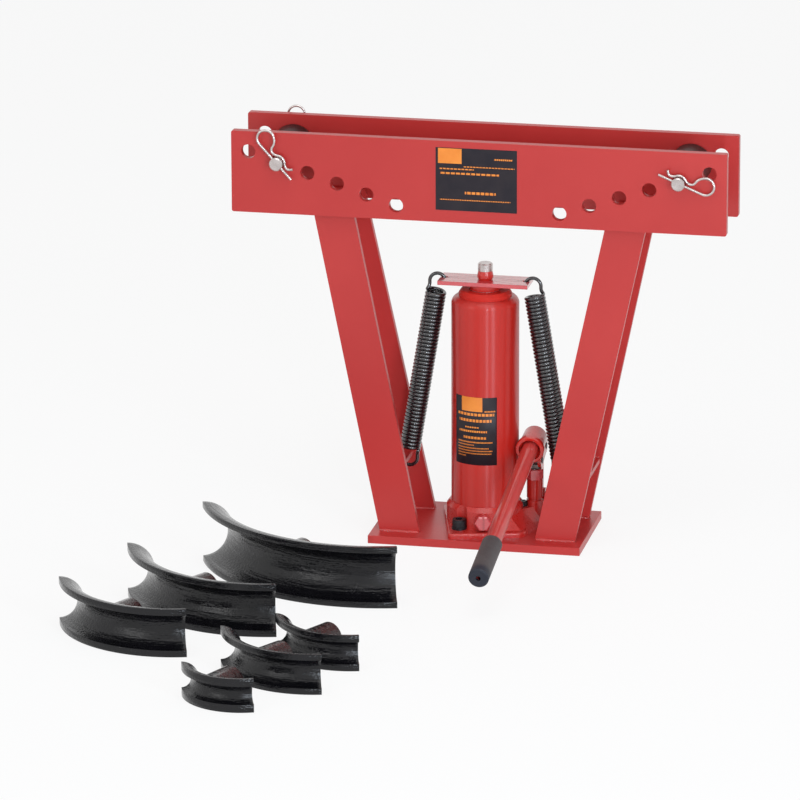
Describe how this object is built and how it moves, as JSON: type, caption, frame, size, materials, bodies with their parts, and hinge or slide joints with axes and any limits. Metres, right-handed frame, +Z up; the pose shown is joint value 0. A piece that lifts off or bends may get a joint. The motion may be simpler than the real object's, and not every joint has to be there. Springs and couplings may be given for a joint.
{
  "type": "hydraulic pipe bender",
  "caption": "Bench press for bending pipe: a hand-pumped hydraulic ram under a two-plate beam with rollers, returned by springs, with loose grooved bending dies.",
  "frame": {"origin": "middle of the base plate's underside, which stands on the bench", "axes": "+Z up along the ram, +X along the beam to the pump's side, -Y to the front, where the handle points and the loose dies lie"},
  "size_m": [0.7192, 0.781, 0.508],
  "materials": {
    "red_paint": "satin red paint",
    "jack_paint": "gloss red paint",
    "black_oxide": "satin black",
    "roller_steel": "dark burnished steel",
    "zinc": "bright zinc",
    "steel": "ground",
    "bronze": "turned",
    "seal_rubber": "matte",
    "grip_rubber": "matte grey",
    "die_black": "gloss black paint on a rough casting"
  },
  "bodies": {
    "frame": {"base_plate": "red_paint", "front_beam_plate": "red_paint", "rear_beam_plate": "red_paint", "front_left_leg": "red_paint", "front_right_leg": "red_paint", "rear_left_leg": "red_paint", "rear_right_leg": "red_paint", "left_tie_plate": "red_paint", "right_tie_plate": "red_paint", "jack_base": "jack_paint", "jack_base_bolts": "black_oxide", "power_cylinder": "steel", "reservoir_tube": "jack_paint", "head_nut": "jack_paint", "rod_wiper_seal": "seal_rubber", "guide_bushing": "bronze", "relief_ball": "steel", "relief_spring": "steel", "relief_screw": "steel", "pump_cylinder": "jack_paint", "pump_seal": "seal_rubber", "pump_gland_nut": "jack_paint", "pump_link": "jack_paint", "fulcrum_pin": "black_oxide", "link_foot_pin": "black_oxide", "left_return_spring": "black_oxide", "right_return_spring": "black_oxide", "delivery_plug": "black_oxide"},
    "ram": {"ram_rod": "steel", "piston_seal": "seal_rubber", "crossbar": "jack_paint", "ram_tip_holder": "jack_paint", "ram_tip": "zinc"},
    "lever": {"pump_socket": "jack_paint"},
    "plunger": {"pump_plunger": "steel", "plunger_pin": "black_oxide"},
    "handle": {"handle_tube": "jack_paint", "handle_grip": "grip_rubber"},
    "release_screw": {"release_valve": "jack_paint"},
    "oil_plug": {"filler_plug": "seal_rubber"},
    "inlet_ball": {"suction_ball": "steel"},
    "outlet_ball": {"delivery_ball": "steel"},
    "left_pin": {"left_roller_pin": "zinc", "left_pin_clips": "zinc"},
    "right_pin": {"right_roller_pin": "zinc", "right_pin_clips": "zinc"},
    "left_wheel": {"left_roller": "roller_steel"},
    "right_wheel": {"right_roller": "roller_steel"},
    "loose_die_2_inch": {"die_2_inch": "die_black"},
    "loose_die_1_1_2_inch": {"die_1_1_2_inch": "die_black"},
    "loose_die_1_1_4_inch": {"die_1_1_4_inch": "die_black"},
    "loose_die_1_inch": {"die_1_inch": "die_black"},
    "loose_die_3_4_inch": {"die_3_4_inch": "die_black"},
    "loose_die_1_2_inch": {"die_1_2_inch": "die_black"}
  },
  "joints": [
    {"name": "ram_lift", "type": "slide", "parent": "frame", "child": "ram", "axis": [0, 0, 1], "range_m": [0, 0.18], "deforming": ["left_return_spring", "right_return_spring"]},
    {"name": "lever_swing", "type": "hinge", "parent": "frame", "child": "lever", "pos_m": [0.05841, 0.04156, 0.1], "axis": [-1, 0, 0], "range_deg": [0, 16]},
    {"name": "plunger_stroke", "type": "slide", "parent": "frame", "child": "plunger", "axis": [0, 0, 1], "range_m": [0, 0.008]},
    {"name": "handle_pull", "type": "slide", "parent": "lever", "child": "handle", "axis": [0, -0.9836, -0.1805], "range_m": [0, 0.08]},
    {"name": "release_turn", "type": "hinge", "parent": "frame", "child": "release_screw", "pos_m": [0.00918, -0.05955, 0.027], "axis": [0.2419, -0.9703, 0], "range_deg": [0, 180]},
    {"name": "plug_pull", "type": "slide", "parent": "frame", "child": "oil_plug", "axis": [0, 1, 0], "range_m": [0, 0.012]},
    {"name": "inlet_ball_lift", "type": "slide", "parent": "frame", "child": "inlet_ball", "axis": [0, 0, 1], "range_m": [0, 0.0015]},
    {"name": "outlet_ball_lift", "type": "slide", "parent": "frame", "child": "outlet_ball", "axis": [-0.9703, -0.2419, 0], "range_m": [0, 0.0015]},
    {"name": "left_pin_turn", "type": "hinge", "parent": "frame", "child": "left_pin", "pos_m": [-0.243, 0, 0.4635], "axis": [0, 1, 0], "continuous": true},
    {"name": "left_roller_turn", "type": "hinge", "parent": "left_pin", "child": "left_wheel", "pos_m": [-0.243, 0, 0.4635], "axis": [0, 1, 0], "continuous": true},
    {"name": "right_pin_turn", "type": "hinge", "parent": "frame", "child": "right_pin", "pos_m": [0.243, 0, 0.4635], "axis": [0, 1, 0], "continuous": true},
    {"name": "right_roller_turn", "type": "hinge", "parent": "right_pin", "child": "right_wheel", "pos_m": [0.243, 0, 0.4635], "axis": [0, 1, 0], "continuous": true},
    {"name": "die_2_inch_lift", "type": "slide", "parent": "frame", "child": "loose_die_2_inch", "axis": [0, 0, 1], "range_m": [0, 0.15]},
    {"name": "die_1_1_2_inch_lift", "type": "slide", "parent": "frame", "child": "loose_die_1_1_2_inch", "axis": [0, 0, 1], "range_m": [0, 0.15]},
    {"name": "die_1_1_4_inch_lift", "type": "slide", "parent": "frame", "child": "loose_die_1_1_4_inch", "axis": [0, 0, 1], "range_m": [0, 0.15]},
    {"name": "die_1_inch_lift", "type": "slide", "parent": "frame", "child": "loose_die_1_inch", "axis": [0, 0, 1], "range_m": [0, 0.15]},
    {"name": "die_3_4_inch_lift", "type": "slide", "parent": "frame", "child": "loose_die_3_4_inch", "axis": [0, 0, 1], "range_m": [0, 0.15]},
    {"name": "die_1_2_inch_lift", "type": "slide", "parent": "frame", "child": "loose_die_1_2_inch", "axis": [0, 0, 1], "range_m": [0, 0.15]}
  ],
  "couplings": [
    {"joint": "plunger_stroke", "follows": "lever_swing", "m_per_rad": 0.02822}
  ]
}
